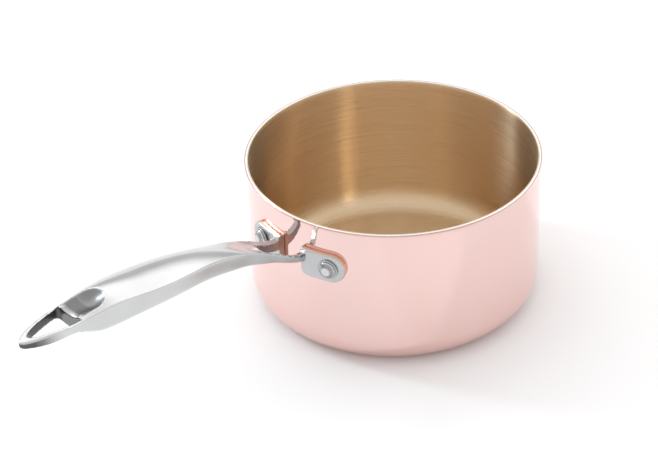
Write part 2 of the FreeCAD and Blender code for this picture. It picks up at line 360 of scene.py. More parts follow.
def scoop_mask(tree, at):
    """1 inside the ball and channel of the thumb scoop, up to the bright lip before the hole."""
    past_ball = tree.add("ShaderNodeMath", {"operation": "MAXIMUM"}, {0: at.x + SCOOP_WIDEST, 1: 0.0})
    off = tree.add("ShaderNodeCombineXYZ", {}, {0: past_ball, 1: at.y, 2: at.z - SCOOP_AXIS_Z})
    ball = tree.below(tree.length(off), SCOOP_RADIUS - 0.1, SCOOP_RADIUS + 0.3)
    return ball * tree.between(at.x + HOLE_BACK, *LIP_BEFORE_HOLE)


def hole_mask(tree, at):
    """1 on the walls of the hanging hole, inside its parabola."""
    inside = at.y * at.y - (at.x + HOLE_NOSE) * (4 * HOLE_FOCUS)
    past_back = tree.between(at.x + HOLE_BACK, 0.5, -0.1)
    return tree.below(inside, 0.0, 4.0) * past_back


def tip_mask(tree, at):
    """1 on the blunt end of the tip, under its top edge and facing along the handle."""
    facing = tree.parts(tree.add("ShaderNodeTexCoord", output=NORMAL))[0]
    near_end = tree.between(0.0 - at.x, *TIP_FROM_AXIS)
    return tree.between(facing, *TIP_FACING) * near_end * tree.between(at.z, *TIP_TOP_Z)


def gap_mask(tree, at):
    """1 on the faces inside the fork's gap, which narrows away from the wall."""
    aside = tree.add("ShaderNodeMath", {"operation": "ABSOLUTE"}, {0: at.y})
    widened = aside - (at.x + LUG_FACE) * GAP_NARROWING
    before_end = tree.between(at.x + CROTCH_END, -0.6, -0.3)
    return tree.below(widened, GAP_HALF + 0.12, GAP_HALF + 0.25) * before_end


print("gap narrows by %.4f of its length" % GAP_NARROWING)

# %% [markdown]
# The colours go on from the most general to the most particular: the polished
# grip, the fork's painted cool tint, the ground faces of the lugs with a painted
# copper reflection at their edges, the gap's painted reflection and shade, the
# scoop's painted shade, and last the painted dark reflection of the recesses, so
# that a later mask covers an earlier one.

# %% Handle steel
STEEL_BRIGHT = (0.650, 0.650, 0.650, 1)
STEEL_GREY = (0.570, 0.570, 0.572, 1)
# Painted cool tint for the fork, against the copper's pink reflection on it.
FORK_PAINTED_COOL = (0.528, 0.562, 0.568, 1)
LUG_GREY = (0.520, 0.520, 0.522, 1)
# Painted reflection of the copper on the lugs' edges next to the wall.
LUG_EDGE_REFLECTED_COPPER = (0.760, 0.545, 0.435, 1)
# Painted copper reflection, fading into painted shade, inside the fork's gap.
GAP_REFLECTED_COPPER = (0.340, 0.205, 0.150, 1)
GAP_PAINTED_SHADE = (0.180, 0.168, 0.160, 1)
# Painted shade in the thumb scoop.
SCOOP_PAINTED_SHADE = (0.165, 0.165, 0.168, 1)
# Painted dark reflection on the walls of the hanging hole and the tip's blunt end.
RECESS_DARK_REFLECTION = (0.105, 0.103, 0.101, 1)
FORK_REACH = (112.0, 135.0)
LUG_REACH = (83.8, 84.6)
# Where the painted copper reflection on the lug edges fades.
LUG_EDGE_REFLECTION_REACH = (82.2, 82.8)
# Where the painted copper reflection in the gap fades into painted shade.
GAP_REFLECTION_REACH = (84.5, 90.0)
SCRATCHES = (110, 2600, 2600)
SWELLS_PER_METRE = 45.0


def make_cast_steel():
    material, tree, shader = new_metal("polished_casting")
    at = measured(tree)
    slow = tree.noise(at.place, SWELLS_PER_METRE)
    drawn = tree.noise(tree.vector("MULTIPLY", at.place, SCRATCHES), 1.0, 3.0, 0.6)
    lug = tree.below(at.reach, *LUG_REACH)
    gap = gap_mask(tree, at) * 0.9
    scoop = scoop_mask(tree, at)
    recess = hole_mask(tree, at) + tip_mask(tree, at)

    colour = tree.blend(tree.between(slow + drawn * 0.3, 0.4, 0.9), STEEL_GREY, STEEL_BRIGHT)
    # Painted cool tint on the fork end of the handle.
    colour = tree.blend(tree.below(at.reach, *FORK_REACH), colour, FORK_PAINTED_COOL)
    # The lugs' own ground grey, with a painted copper reflection at their edges.
    ground = tree.blend(tree.below(at.reach, *LUG_EDGE_REFLECTION_REACH), LUG_GREY, LUG_EDGE_REFLECTED_COPPER)
    colour = tree.blend(lug, colour, ground)
    # Painted copper reflection and painted shade inside the gap.
    gap_reflection_and_shade = tree.blend(tree.between(at.reach, *GAP_REFLECTION_REACH), GAP_REFLECTED_COPPER, GAP_PAINTED_SHADE)
    colour = tree.blend(gap, colour, gap_reflection_and_shade)
    # Painted shade in the thumb scoop.
    colour = tree.blend(scoop, colour, SCOOP_PAINTED_SHADE)
    # Painted dark reflection in the hanging hole and on the tip's blunt end.
    colour = tree.blend(recess, colour, RECESS_DARK_REFLECTION)

    rough = tree.between(slow, 0.3, 0.7, 0.10, 0.16) + drawn * 0.05
    rough = rough + lug * 0.12 + scoop * 0.20 + (recess + gap) * 0.12
    dress(tree, shader, colour, rough, slow + drawn * 0.03, 0.1, 0.1)
    return material


cast_steel = make_cast_steel()
print("made", cast_steel.name)

# %% [markdown]
# ### Turned rivets
# A rivet head carries rings from the tool that shaped it. The rings run round the
# rivet's own line, so the shader measures the distance from that line. Both
# rivets share it because the distance is taken with Y made positive. The cone of
# an outer head faces away from the bright side and is shaded a little more.

# %% Rivet steel
RIVET_BRIGHT = (0.68, 0.68, 0.68, 1)
WASHER_BRIGHT = (0.46, 0.46, 0.46, 1)
CONE_START = (2.1, 2.6)
CONE_END = (4.0, 4.6)
OUTER_HEAD_REACH = (81.2, 81.8)
SPECKS_PER_METRE = 2600.0


def make_rivet_steel(name, bright, rings_per_mm, cone_shade):
    """Turned steel; the cone of an outer head is shaded, the inner dome is not."""
    material, tree, shader = new_metal(name)
    at = measured(tree)
    from_height = tree.vector("SUBTRACT", at.place, (0, 0, RIVET_Z * MM))
    line = (math.cos(RIVET_TURN), math.sin(RIVET_TURN), 0)
    apart = tree.vector("CROSS_PRODUCT", tree.vector("ABSOLUTE", from_height), line)
    off_line = tree.length(apart) * (1 / MM)
    rings = tree.noise_along(off_line, rings_per_mm, 1.0)
    turned_face = tree.blend(tree.between(rings, 0.3, 0.7), dimmed(bright, 0.86), bright)
    cone = tree.between(off_line, *CONE_START) * tree.below(off_line, *CONE_END)
    outer_cone = cone * tree.between(at.reach, *OUTER_HEAD_REACH)
    colour = tree.blend(outer_cone, turned_face, dimmed(bright, cone_shade))
    speck = tree.noise(at.place, SPECKS_PER_METRE)
    dress(tree, shader, colour, tree.between(speck, 0.3, 0.7, 0.17, 0.24), rings, 0.02, 0.15)
    return material


rivet_steel = make_rivet_steel("turned_rivet", RIVET_BRIGHT, 3.0, 0.48)
washer_steel = make_rivet_steel("pressed_washer", WASHER_BRIGHT, 2.4, 1.0)
print("made", rivet_steel.name, washer_steel.name)

# %% [markdown]
# ## Profiles of the pan
# The pan is pressed from a bonded sheet: copper outside, aluminium in the middle
# and steel inside. A turned shape is fully given by the line that turns, so each
# layer is one closed profile: out along its lower face, round the corner, up the
# wall, over the rim and back down its inner face. Extra points just before and
# after each bend keep the mirror finish from smearing over the edges.

# %% Profiles
CORNER_RADIUS = 16.0
CORNER_STEPS = 24
WALL_TOP = 81.5
FLARE_OUT = 0.45
FLARE_STEPS = 8
EDGE_ROUND = 0.12
EDGE_STEPS = 5
BASE_SHARES = (0.25, 0.5, 0.75, 0.9, 0.98, 0.995)
WALL_SHARES = (0.01, 0.03, 0.1, 0.3, 0.5, 0.7, 0.9, 0.97, 1)


def mix(low, high, share):
    return low + (high - low) * share


def skin(depth, top_drop=0.0):
    """The line at one depth under the outside, as (reach, height): base, corner, wall, flare."""
    centre = PAN_RADIUS - CORNER_RADIUS
    radius = CORNER_RADIUS - depth
    line = [(centre * share, depth) for share in BASE_SHARES]
    for step in range(CORNER_STEPS + 1):
        turn = math.radians(90 * step / CORNER_STEPS)
        line.append((centre + radius * math.sin(turn), CORNER_RADIUS - radius * math.cos(turn)))
    wall = PAN_RADIUS - depth
    line += [(wall, mix(CORNER_RADIUS, WALL_TOP, share)) for share in WALL_SHARES]
    bend = mix(WALL_TOP, PAN_HEIGHT, 2 / 3)
    for step in range(1, FLARE_STEPS + 1):
        share = step / FLARE_STEPS
        height = mix(mix(WALL_TOP, bend, share), mix(bend, PAN_HEIGHT, share), share)
        line.append((wall + FLARE_OUT * share ** 2, min(height, PAN_HEIGHT - top_drop)))
    return line


def rim_arc(edge, radius, sign):
    """The rounded edge at the rim: up from the wall for the outside, sign 1, or mirrored."""
    steps = EDGE_STEPS if radius else 1
    arc = []
    for step in range(steps):
        turn = math.radians(90 * (step + 1) / (steps + 1))
        reach = edge - sign * radius * (1 - math.cos(turn))
        arc.append((reach, PAN_HEIGHT - radius * (1 - math.sin(turn))))
    return arc if sign > 0 else arc[::-1]


def layer_profile(outer, thick, round_outside=0.0, round_inside=0.0):
    """A closed profile from the axis, out and up one skin and back down the next."""
    out = skin(outer, round_outside)
    back = skin(outer + thick, round_inside)
    rim_line = rim_arc(out[-1][0], round_outside, 1) + rim_arc(back[-1][0], round_inside, -1)
    return [(0, outer)] + out + rim_line + back[::-1] + [(0, outer + thick)]


COPPER_PROFILE = layer_profile(0, COPPER_THICK, round_outside=EDGE_ROUND)
CORE_PROFILE = layer_profile(COPPER_THICK, CORE_THICK)
LINER_PROFILE = layer_profile(COPPER_THICK + CORE_THICK, LINER_THICK, round_inside=EDGE_ROUND)
print("profile points", len(COPPER_PROFILE), len(CORE_PROFILE), len(LINER_PROFILE))

# %% [markdown]
# ## Turning a profile with Geometry Nodes
# Spin or the Screw modifier could turn the line too. Here a node tree lays a
# grid, whose columns are steps round the axis and whose rows are the points of
# the profile, and wraps it into place. One merge closes the seam and the poles.
# The number of steps and the material are inputs, so all turned pieces share it.

# %% The lathe tree
SEAM_GAP = 0.002


def new_tree(name, inputs):
    """A tree with a geometry in and out, its wrapper, its inputs by name and its output node."""
    tree = bpy.data.node_groups.new(name, "GeometryNodeTree")
    tree.interface.new_socket("Geometry", in_out="INPUT", socket_type="NodeSocketGeometry")
    tree.interface.new_socket("Geometry", in_out="OUTPUT", socket_type="NodeSocketGeometry")
    for label, kind, value in inputs:
        socket = tree.interface.new_socket(label, in_out="INPUT", socket_type=kind)
        if value is not None:
            socket.default_value = value
    entry = tree.nodes.new("NodeGroupInput")
    leave = tree.nodes.new("NodeGroupOutput")
    helper = Tree(tree)
    values = {socket.name: Socket(helper, socket) for socket in entry.outputs if socket.name}
    return tree, helper, values, leave


def turned(tree, values):
    """Nodes that turn the incoming points round Z."""
    incoming = values["Geometry"]
    points = tree.add("GeometryNodeAttributeDomainSize", {"component": "MESH"}, {0: incoming})
    columns = values["Steps round"] + 1.0
    grid = tree.add("GeometryNodeMeshGrid", {}, {"Vertices X": columns, "Vertices Y": points})
    index = tree.add("GeometryNodeInputIndex")
    column = tree.add("ShaderNodeMath", {"operation": "FLOOR"}, {0: index / points})
    row = index - column * points
    settings = {"data_type": "FLOAT_VECTOR", "domain": "POINT"}
    position = tree.add("GeometryNodeInputPosition")
    sample = {0: incoming, "Value": position, "Index": row}
    spot = tree.add("GeometryNodeSampleIndex", settings, sample)
    angle = column * (2 * math.pi) / values["Steps round"]
    settings = {"rotation_type": "Z_AXIS"}
    place = tree.add("ShaderNodeVectorRotate", settings, {"Vector": spot, "Angle": angle})
    wrapped = tree.add("GeometryNodeSetPosition", {}, {"Geometry": grid, "Position": place})
    seam = {"Geometry": wrapped, "Distance": SEAM_GAP * MM}
    closed = tree.add("GeometryNodeMergeByDistance", {}, seam)
    return tree.add("GeometryNodeSetShadeSmooth", {}, {"Geometry": closed, "Shade Smooth": True})


def finish_tree(tree, leave, shape, material):
    whole = tree.add("GeometryNodeRealizeInstances", {}, {"Geometry": shape})
    covered = tree.add("GeometryNodeSetMaterial", {}, {"Geometry": whole, "Material": material})
    tree.feed(leave.inputs[0], covered)


LATHE_INPUTS = [("Steps round", "NodeSocketInt", 256), ("Finish", "NodeSocketMaterial", None)]
lathe, helper, values, leave = new_tree("lathe", LATHE_INPUTS)
finish_tree(helper, leave, turned(helper, values), values["Finish"])
print("lathe nodes", len(lathe.nodes))

# %% [markdown]
# ## From a node tree to a plain mesh
# The tree is run on the profile's points, and its result is copied to a mesh of
# its own, so that nothing live is left on the piece. Faces are then turned to
# point outwards: the profile starts on the axis and comes back to it, which
# makes every layer a closed shell.

# %% Run a tree
def add_piece(name, mesh):
    piece = bpy.data.objects.new(name, mesh)
    bpy.context.scene.collection.objects.link(piece)
    return piece


def work_on(mesh):
    work = bmesh.new()
    work.from_mesh(mesh)
    return work


def save_outwards(work, mesh):
    """Writes a closed shape to its mesh, with every face turned outwards."""
    bmesh.ops.recalc_face_normals(work, faces=work.faces)
    if work.calc_volume(signed=True) < 0:
        bmesh.ops.reverse_faces(work, faces=work.faces)
    work.to_mesh(mesh)
    work.free()


def describe(piece):
    """Faces, open edges and volume of a piece, to print."""
    work = work_on(piece.data)
    open_edges = sum(1 for edge in work.edges if len(edge.link_faces) != 2)
    volume = work.calc_volume(signed=True) / MM ** 3
    text = "%s: %d faces, %d open edges, %.0f mm3" % (piece.name, len(work.faces), open_edges, volume)
    work.free()
    return text


def run_tree(name, profile, tree, settings):
    """The profile's points, put through a node tree, as a new piece."""
    seed = bpy.data.meshes.new("profile")
    seed.from_pydata([(reach * MM, 0, height * MM) for reach, height in profile], [], [])
    maker = add_piece("maker", seed)
    modifier = maker.modifiers.new("nodes", "NODES")
    modifier.node_group = tree
    for entry in tree.interface.items_tree:
        if entry.in_out == "INPUT" and entry.name in settings:
            modifier[entry.identifier] = settings[entry.name]
    ready = maker.evaluated_get(bpy.context.evaluated_depsgraph_get())
    mesh = bpy.data.meshes.new_from_object(ready)
    bpy.data.objects.remove(maker)
    bpy.data.meshes.remove(seed)
    mesh.name = name
    save_outwards(work_on(mesh), mesh)
    return add_piece(name, mesh)


print("ready to turn", len(lathe.interface.items_tree), "sockets in the lathe's interface")

# %% [markdown]
# ### The three layers
# All three are turned with the same number of steps, so that their columns line up
# and no layer shows through its neighbour. At the rim the core shows between the
# other two as a silver line.

# %% Turn the three layers
LAYERS = (
    ("copper_wall", "copper_shell", "copper", copper, COPPER_PROFILE),
    ("core_layer", "aluminium_core", "core", rim, CORE_PROFILE),
    ("inner_lining", "steel_liner", "liner", liner, LINER_PROFILE),
)
for name, node, slot, finish, profile in LAYERS:
    piece = run_tree(name, profile, lathe, {"Steps round": 256, "Finish": finish})
    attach(piece, "root")
    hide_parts(node)
    print(describe(piece))

# %% [markdown]
# ## Rivets and their washers
# Each rivet goes through the wall, a lug and a washer, and is set over into a
# stepped head outside and a low dome inside. Both rivets are the same turned
# shape, so a second tree turns the profile once and sets it at both lugs, which
# is what instances are for. They are realized at the end.

# %% The rivet tree
def set_at_lugs(tree, shape):
    """The turned shape at both lugs, its axis along the radius."""
    middle = {"Count": 2, "Position": (0, 0, RIVET_Z * MM)}
    spots = tree.add("GeometryNodePoints", {}, middle)
    side = 1.0 - tree.add("GeometryNodeInputIndex") * 2.0
    angles = {0: 0.0, 1: math.pi / 2, 2: math.pi - side * RIVET_TURN}
    turn = tree.add("FunctionNodeEulerToRotation", {}, {0: tree.add("ShaderNodeCombineXYZ", {}, angles)})
    copies = {"Points": spots, "Instance": shape, "Rotation": turn}
    return tree.add("GeometryNodeInstanceOnPoints", {}, copies)


RIVET_INPUTS = [("Steps round", "NodeSocketInt", 96), ("Finish", "NodeSocketMaterial", None)]
rivet_tree, helper, values, leave = new_tree("lathe_at_both_lugs", RIVET_INPUTS)
finish_tree(helper, leave, set_at_lugs(helper, turned(helper, values)), values["Finish"])
print("rivet tree nodes", len(rivet_tree.nodes))

# %% [markdown]
# The head is a short step, a cone and a small flat top, with its corners eased.
# Heights are distances from the pan's axis, so the tree only has to turn the
# shape onto each rivet's line.

# %% Rivet and washer profiles
WASHER_SEAT = 82.948
WASHER_TOP = WASHER_SEAT + 0.9
WASHER_OUTER = 5.6
WASHER_BORE = 2.6
WASHER_EASE = 0.3
SHANK = 2.5
HEAD = 4.6
HEAD_STEP_TOP = WASHER_TOP + 0.7
HEAD_TOP = WASHER_TOP + 2.3
HEAD_FLAT = 2.65
HEAD_EASE = 0.25
DOME = 6.5
DOME_TALL = 1.8
DOME_STEPS = 14


def eased(line, sizes, steps=5):
    """The line with the corners that have a size cut back to small curves."""
    result = []
    for index, (corner, size) in enumerate(zip(line, sizes)):
        if not size:
            result.append(corner)
            continue
        here = Vector(corner)
        before = Vector(line[index - 1])
        after = Vector(line[(index + 1) % len(line)])
        start = here + (before - here).normalized() * size
        end = here + (after - here).normalized() * size
        for step in range(steps + 1):
            share = step / steps
            result.append(tuple(start.lerp(here, share).lerp(here.lerp(end, share), share)))
    return result


def rivet_profile():
    top = [(0, HEAD_TOP), (HEAD_FLAT, HEAD_TOP), (HEAD, HEAD_STEP_TOP)]
    foot = [(HEAD, WASHER_TOP), (SHANK, WASHER_TOP)]
    outside = eased(top + foot, [0, 2 * HEAD_EASE, HEAD_EASE, HEAD_EASE / 2, 0])
    ball = (DOME ** 2 + DOME_TALL ** 2) / (2 * DOME_TALL)
    dome = []
    for step in range(DOME_STEPS + 1):
        turn = math.asin(DOME / ball) * (1 - step / DOME_STEPS)
        low = INNER_RADIUS - DOME_TALL + ball * (1 - math.cos(turn))
        dome.append((ball * math.sin(turn), low))
    return outside + [(SHANK, INNER_RADIUS)] + dome


def washer_profile():
    seat = [(WASHER_BORE, WASHER_SEAT), (WASHER_OUTER, WASHER_SEAT)]
    face = [(WASHER_OUTER, WASHER_TOP), (WASHER_BORE, WASHER_TOP)]
    ring = eased(seat + face, [0, 0, WASHER_EASE, 0])
    return ring + ring[:1]


print("rivet profile", len(rivet_profile()), "points, washer", len(washer_profile()))

# %% [markdown]
# ### Set at the lugs
# The rivets and the washers go through the same tree, each with its own profile.
# Each piece holds two of a kind, so it replaces two nodes of the model.

# %% Set the rivets and washers
RIVET_NODES = ("left_rivet", "right_rivet")
WASHER_NODES = ("left_rivet_washer", "right_rivet_washer")
for name, profile, finish, nodes, slot in (
    ("rivets", rivet_profile(), rivet_steel, RIVET_NODES, "rivet_steel"),
    ("rivet_washers", washer_profile(), washer_steel, WASHER_NODES, "washer_steel"),
):
    piece = run_tree(name, profile, rivet_tree, {"Steps round": 96, "Finish": finish})
    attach(piece, "root")
    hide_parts(*nodes)
    print(describe(piece))

# %% [markdown]
# ## The handle
# One steel casting: a fork with two lugs, a grip with a crowned top between two
# crease lines, and a thin tail with a scoop for the thumb and a hanging hole. It
# is built as a foundry pattern is: rows of cross-sections are drawn over, the
# openings are carved out, and the edges are then softened all over.

# %% Cross-sections of the handle
# Each row is: place, crease above the rivet line, half width, rise of the crown,
# depth below the crease, and fullness of the underside. Places are distances from
# the wall in the fork, shares of the grip's length, and distances from the tip.
FORK_ROWS = (
    (1.2, 7.9, 11.6, -1.6, 8.7, 1.0),
    (4.0, 7.4, 11.3, -1.8, 7.8, 1.0),
    (9.0, 8.4, 10.7, -2.0, 7.1, 1.0),
    (16.0, 12.0, 10.0, -2.2, 7.1, 1.0),
    (23.0, 16.4, 9.3, -2.2, 8.1, 1.0),
    (30.0, 20.3, 8.9, -1.8, 9.2, 1.0),
    (37.0, 23.8, 8.5, -0.8, 9.9, 0.95),
)
GRIP_ROWS = (
    (0.05, 28.2, 8.6, 0.9, 10.9, 0.9),
    (0.26, 33.4, 9.8, 2.3, 11.8, 0.85),
    (0.50, 37.7, 12.1, 3.1, 12.6, 0.8),
    (0.75, 41.5, 12.9, 3.5, 14.0, 0.75),
    (0.94, 44.4, 12.0, 3.6, 15.7, 0.75),
)
TAIL_ROWS = (
    (48.0, 45.6, 11.0, 3.4, 16.0, 0.75),
    (39.5, 45.9, 10.2, 2.6, 13.8, 0.8),
    (34.5, 46.0, 9.7, 1.8, 11.0, 0.85),
    (29.5, 46.1, 9.4, 1.2, 8.0, 0.95),
    (24.0, 46.3, 9.2, 1.0, 6.3, 1.0),
    (14.0, 46.7, 9.0, 0.8, 5.4, 1.0),
    (5.0, 46.7, 8.8, 0.7, 3.9, 1.0),
    (-3.0, 46.5, 8.6, 0.6, 2.5, 1.0),
)
FORK_END = 125.0
TAIL_START = 205.6
print("rows", len(FORK_ROWS) + len(GRIP_ROWS) + len(TAIL_ROWS))

# %% [markdown]
# ### Smooth curves through the rows
# A spline through each column of the rows gives a section at any place, and two
# Bezier curves draw the section: one for the crown, one for the underside. A
# Bezier curve passes its middle at fixed shares of its points, so the rise and
# the depth in the rows are turned into heights of those points.

# %% Sections between the rows
CROWN_STEPS = 24
UNDER_STEPS = 56
SHOULDER_SHARE = 0.75
SIDE_SHARE = 0.3125
BELLY_SHARE = 0.625
SIDE_OUT = (0.88, 1.0)
SIDE_DOWN = (0.45, 1.3)
BELLY_OUT = (0.74, 0.9)


def all_rows():
    rows = [(PAN_RADIUS + row[0],) + row[1:] for row in FORK_ROWS]
    rows += [(mix(FORK_END, TAIL_START, row[0]),) + row[1:] for row in GRIP_ROWS]
    return rows + [(TIP_REACH - row[0],) + row[1:] for row in TAIL_ROWS]


def smooth_columns(rows, places):
    """Natural cubic splines through each column of the rows, read at the places."""
    table = np.array(rows)
    knots, heights = table[:, 0], table[:, 1:]
    gap = np.diff(knots)
    slope = np.diff(heights, axis=0) / gap[:, None]
    count = len(knots)
    system = np.eye(count)
    right = np.zeros_like(heights)
    for k in range(1, count - 1):
        system[k, k - 1:k + 2] = gap[k - 1], 2 * (gap[k - 1] + gap[k]), gap[k]
        right[k] = 6 * (slope[k] - slope[k - 1])
    curve = np.linalg.solve(system, right)
    read = []
    for place in places:
        k = min(max(int(np.searchsorted(knots, place)) - 1, 0), count - 2)
        before, after, h = knots[k + 1] - place, place - knots[k], gap[k]
        value = (curve[k] * before ** 3 + curve[k + 1] * after ** 3) / (6 * h)
        value += (heights[k] / h - curve[k] * h / 6) * before
        value += (heights[k + 1] / h - curve[k + 1] * h / 6) * after
        read.append(value)
    return read


def bezier_points(controls, steps):
    degree = len(controls) - 1
    ways = [math.comb(degree, k) for k in range(degree + 1)]
    points = []
    for step in range(steps):
        share = step / steps
        weights = [way * share ** k * (1 - share) ** (degree - k) for k, way in enumerate(ways)]
        points.append(tuple(sum(w * c[axis] for w, c in zip(weights, controls)) for axis in (0, 1)))
    return points


def section_points(half, rise, depth, full):
    """A crown between two creases, closed by one rounded underside curve."""
    full = min(1.0, max(0.0, full))
    shoulder = rise / SHOULDER_SHARE
    side_y, side_z = mix(*SIDE_OUT, full) * half, mix(*SIDE_DOWN, full) * depth
    belly_y = mix(*BELLY_OUT, full) * half
    belly_z = (depth - SIDE_SHARE * side_z) / BELLY_SHARE
    crown = [(-half, 0), (-half / 2, shoulder), (half / 2, shoulder), (half, 0)]
    near_side = [(half, 0), (side_y, -side_z), (belly_y, -belly_z)]
    far_side = [(-y, z) for y, z in near_side[::-1]]
    return bezier_points(crown, CROWN_STEPS) + bezier_points(near_side + far_side, UNDER_STEPS)


print("points in a section", len(section_points(10, 2, 10, 1)))

# %% [markdown]
# ### Drawing the stem
# The sections are joined into a tube of quads with both ends closed. Curved
# blocks for the openings are made the same way, as rings joined one to the next,
# so a single helper serves them all.

# %% Tubes from rings
STEM_STEPS = 180


def tube(name, rings):
    """A closed shape from rings of equal length, in millimetres."""
    work = bmesh.new()
    levels = [[work.verts.new([value * MM for value in point]) for point in ring] for ring in rings]
    count = len(levels[0])
    for low, high in zip(levels, levels[1:]):
        for k in range(count):
            work.faces.new((low[k], low[(k + 1) % count], high[(k + 1) % count], high[k]))
    work.faces.new(levels[0][::-1])
    work.faces.new(levels[-1])
    mesh = bpy.data.meshes.new(name)
    save_outwards(work, mesh)
    return add_piece(name, mesh)


def stem_rings():
    rows = all_rows()
    places = [mix(rows[0][0], rows[-1][0], step / STEM_STEPS) for step in range(STEM_STEPS + 1)]
    rings = []
    for place, (crease, half, rise, depth, full) in zip(places, smooth_columns(rows, places)):
        section = section_points(half, rise, depth, full)
        rings.append([(-place, y, RIVET_Z + crease + z) for y, z in section])
    return rings


handle = tube("handle_casting", stem_rings())
print(describe(handle))

# %% [markdown]
# ### The tip, the hole, the fork and the scoop
# The tail narrows to a blunt point along a parabola, and the hanging hole
# follows a slimmer one with its two inner corners rounded. The fork's gap
# narrows from the wall to a round crotch. The thumb scoop is turned about a line
# over the handle: a ball first, then a waist that lifts towards the hole.

# %% Outlines of the carving blocks
BLOCK_Z = (40.0, 150.0)
GAP_START = 70.0
TIP_BLOCK_BACK = 40.0
HOLE_CORNER = 2.6
PARABOLA_STEPS = 96
CORNER_CURVE_STEPS = 10
CROTCH_STEPS = 24
SCOOP_BALL_STEPS = 24
SCOOP_WAIST_STEPS = 16
SCOOP_END = HOLE_BACK + 2.5
SCOOP_ROWS = (
    (SCOOP_WIDEST, SCOOP_RADIUS), (SCOOP_WIDEST + 4.4, 11.55), (HOLE_BACK - 2, 11.1), (SCOOP_END, 12.6),
)


def upright(outline):
    """Two rings that make an upright block of an outline."""
    return [[(x, y, height) for x, y in outline] for height in BLOCK_Z]


def turns_round(steps):
    return [2 * math.pi * k / steps for k in range(steps)]


def parabola(nose, focus, back):
    """Points of a parabola whose nose is the far end, closest together at the nose."""
    half = math.sqrt(4 * focus * (nose - back))
    shares = [1 - 2 * step / PARABOLA_STEPS for step in range(PARABOLA_STEPS + 1)]
    sides = [half * share * abs(share) for share in shares]
    return [(-(nose - side ** 2 / (4 * focus)), side) for side in sides]


def hole_outline():
    """The slimmer parabola, whose two inner corners are curves pulled to the square corner."""
    nose = parabola(HOLE_NOSE, HOLE_FOCUS, HOLE_BACK + HOLE_CORNER)
    end_reach, end_side = -nose[-1][0], -nose[-1][1]
    square = math.sqrt(4 * HOLE_FOCUS * (HOLE_NOSE - HOLE_BACK))
    corner = []
    for step in range(1, CORNER_CURVE_STEPS + 1):
        share = step / CORNER_CURVE_STEPS
        reach = mix(mix(end_reach, HOLE_BACK, share), HOLE_BACK, share)
        side = mix(mix(end_side, square, share), mix(square, square - HOLE_CORNER, share), share)
        corner.append((-reach, side))
    return nose + [(x, -y) for x, y in corner] + corner[::-1]


def gap_outline():
    """Two sides that run from inside the wall to a half round crotch."""
    turns = [math.radians(90 - 180 * step / CROTCH_STEPS) for step in range(CROTCH_STEPS + 1)]
    crotch = [(-(CROTCH_CENTRE + CROTCH_HALF * math.cos(t)), CROTCH_HALF * math.sin(t)) for t in turns]
    side = [(-GAP_START, GAP_HALF), (-LUG_FACE, GAP_HALF)]
    return side + crotch + [(x, -y) for x, y in side[::-1]]


def scoop_rings():
    """The ball and the waist, turned about a line over the handle and along it."""
    line = []
    for step in range(1, SCOOP_BALL_STEPS + 1):
        turn = math.radians(90 * step / SCOOP_BALL_STEPS)
        line.append((SCOOP_WIDEST - SCOOP_RADIUS * math.cos(turn), SCOOP_RADIUS * math.sin(turn)))
    shares = [step / SCOOP_WAIST_STEPS for step in range(1, SCOOP_WAIST_STEPS + 1)]
    places = [mix(SCOOP_WIDEST, SCOOP_END, share) for share in shares]
    line += [(place, value[0]) for place, value in zip(places, smooth_columns(SCOOP_ROWS, places))]
    turns = turns_round(96)
    return [[(-x, r * math.sin(t), SCOOP_AXIS_Z - r * math.cos(t)) for t in turns] for x, r in line]


print("hole outline", len(hole_outline()), "points, gap outline", len(gap_outline()))

# %% [markdown]
# The Boolean modifier could stay live, but a settled mesh after each cut keeps the
# steps apart: when one fails, the printed volume shows which. The exact solver is
# used because it copes with faces that lie on each other.

# %% Carve the stem
def settle(piece):
    """Works out the piece's modifiers and keeps the result as its plain mesh."""
    mesh = bpy.data.meshes.new_from_object(piece.evaluated_get(bpy.context.evaluated_depsgraph_get()))
    piece.modifiers.clear()
    old = piece.data
    piece.data = mesh
    bpy.data.meshes.remove(old)
    mesh.name = piece.name


def carve(body, rings, operation="DIFFERENCE"):
    """A block cut from the body, joined to it, or kept where both are."""
    block = tube("block", rings)
    modifier = body.modifiers.new("carve", "BOOLEAN")
    modifier.operation = operation
    modifier.solver = "EXACT"
    modifier.object = block
    settle(body)
    used = block.data
    bpy.data.objects.remove(block)
    bpy.data.meshes.remove(used)


carve(handle, upright(parabola(TIP_REACH, TIP_FOCUS, TIP_BLOCK_BACK)), "INTERSECT")
for block_rings in (upright(gap_outline()), scoop_rings(), upright(hole_outline())):
    carve(handle, block_rings)
    print(describe(handle))

# %% [markdown]
# ### The lugs
# Each lug is a plate bent to the wall: straight edges at the fork, a half round
# beyond the rivet, and one eased corner under the fork. Its face edge is rounded
# over by pulling the outline in while it rises. The rows run straight up and
# down, so that the bent face stays true.

# %% Lug plates
LUG_HALF = 8.2
LUG_ROUND_CENTRE = 1.2
LUG_INNER_END = -16.3
LUG_EASE = 0.9
LUG_EASE_STEPS = 6
LUG_CORNER = 3.0
LUG_ROOT = 79.0
STRAIGHT_STEPS = 30
ROUND_STEPS = 16


def at_rivet(side, out, across, high):
    """A point given along one rivet's line, across it and above it."""
    turn = side * RIVET_TURN
    x = -(out * math.cos(turn) - across * math.sin(turn))
    return x, out * math.sin(turn) + across * math.cos(turn), RIVET_Z + high


def lug_height(across, pull, lower):
    """Half height of the plate at a distance along it, with its edge pulled in."""
    half = LUG_HALF - pull
    if across > LUG_ROUND_CENTRE:
        return math.sqrt(max(0.0, half ** 2 - (across - LUG_ROUND_CENTRE) ** 2))
    short = LUG_INNER_END + LUG_CORNER - across
    if lower and short > 0:
        return half - LUG_CORNER + math.sqrt(max(0.0, LUG_CORNER ** 2 - short ** 2))
    return half


